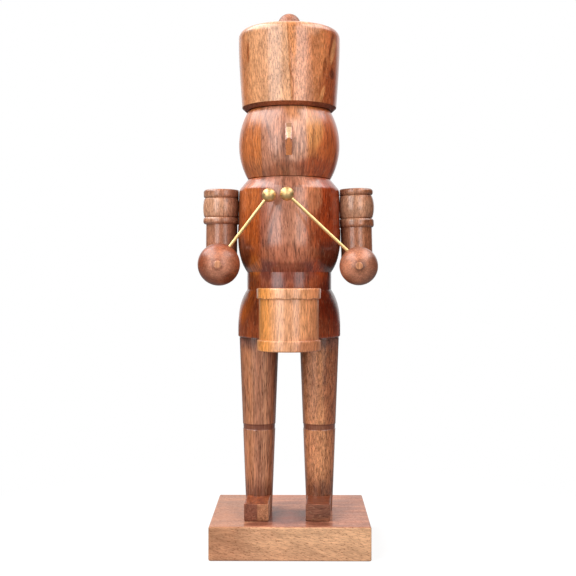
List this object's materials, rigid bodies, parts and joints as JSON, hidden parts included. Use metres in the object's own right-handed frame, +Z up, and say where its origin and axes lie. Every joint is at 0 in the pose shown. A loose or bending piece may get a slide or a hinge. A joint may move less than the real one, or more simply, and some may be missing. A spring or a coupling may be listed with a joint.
{
  "type": "nutcracker figure",
  "caption": "Turned wooden drummer figure in the style of a nutcracker, on a block base, with a tall hat, a drum at the belly, brass drumsticks and arms that swing on shoulder pegs.",
  "frame": {"origin": "middle of the base block's underside", "axes": "+Z up, the figure faces -Y, +X to the viewer's right when looking at its front"},
  "size_m": [0.123, 0.1096, 0.3799],
  "materials": {
    "light_wood": "satin clear lacquer",
    "body_wood": "satin clear lacquer",
    "leg_wood": "satin clear lacquer",
    "arm_wood": "satin clear lacquer",
    "brass": "satin",
    "steel": "plain"
  },
  "bodies": {
    "figure": {"base_block": "light_wood", "foot_left": "leg_wood", "foot_right": "leg_wood", "leg_left": "leg_wood", "leg_right": "leg_wood", "leg_screw_left": "steel", "leg_screw_right": "steel", "hip_dowel_left": "leg_wood", "hip_dowel_right": "leg_wood", "torso": "body_wood", "neck_dowel": "body_wood", "head": "body_wood", "nose": "body_wood", "hat_dowel": "body_wood", "hat": "light_wood", "hat_knob": "leg_wood", "drum": "light_wood", "drum_dowel": "light_wood", "shoulder_dowel_left": "arm_wood", "shoulder_dowel_right": "arm_wood"},
    "arm_left": {"upper_arm_left": "arm_wood", "elbow_dowel_left": "arm_wood", "forearm_left": "arm_wood", "hand_left": "arm_wood", "wrist_dowel_left": "light_wood", "drumstick_rod_left": "brass", "drumstick_tip_left": "brass"},
    "arm_right": {"upper_arm_right": "arm_wood", "elbow_dowel_right": "arm_wood", "forearm_right": "arm_wood", "hand_right": "arm_wood", "wrist_dowel_right": "light_wood", "drumstick_rod_right": "brass", "drumstick_tip_right": "brass"}
  },
  "joints": [
    {"name": "left_arm_swing", "type": "hinge", "parent": "figure", "child": "arm_left", "pos_m": [-0.0363, 0, 0.2411], "axis": [-1, 0, 0], "range_deg": [-25, 25]},
    {"name": "right_arm_swing", "type": "hinge", "parent": "figure", "child": "arm_right", "pos_m": [0.0363, 0, 0.2411], "axis": [-1, 0, 0], "range_deg": [-25, 25]}
  ]
}
